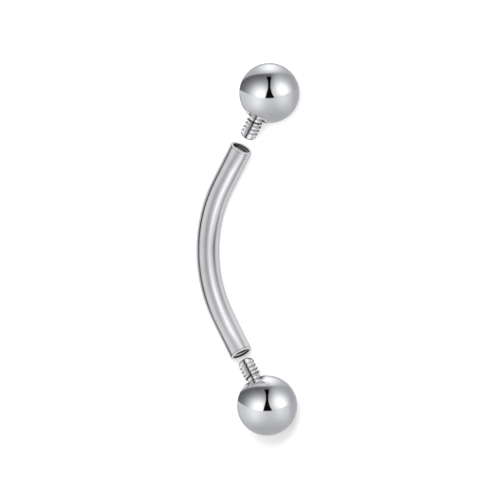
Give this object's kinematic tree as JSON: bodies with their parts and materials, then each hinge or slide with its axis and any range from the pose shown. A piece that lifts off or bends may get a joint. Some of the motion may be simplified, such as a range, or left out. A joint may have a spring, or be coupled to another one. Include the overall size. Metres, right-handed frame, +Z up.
{
  "type": "curved eyebrow barbell",
  "caption": "Bent round bar with a threaded socket in each end and a polished ball on a screw for each, unscrewed and drawn straight out; worn through an eyebrow piercing.",
  "frame": {"origin": "middle of the box, on the surface that the parts lie on", "axes": "+X along the bar's chord towards the upper end, -Y towards the open side of the bend, +Z up from the surface"},
  "size_m": [0.0196, 0.0062, 0.0032],
  "materials": {
    "polished_bar": "polished, with fine marks along the bar",
    "mirror_ball": "mirror polished",
    "machined_screw": "bright machined"
  },
  "bodies": {
    "bar": {"curved_bar": "polished_bar"},
    "upper_end": {"upper_ball": "mirror_ball", "upper_screw": "machined_screw"},
    "lower_end": {"lower_ball": "mirror_ball", "lower_screw": "machined_screw"}
  },
  "joints": [
    {"name": "upper_screw_in", "type": "slide", "parent": "bar", "child": "upper_end", "axis": [-0.8446, 0.5194, -0.1298], "range_m": [-0.003, 0.00201]},
    {"name": "lower_screw_in", "type": "slide", "parent": "bar", "child": "lower_end", "axis": [0.844, 0.5194, -0.1333], "range_m": [-0.003, 0.00175]}
  ]
}
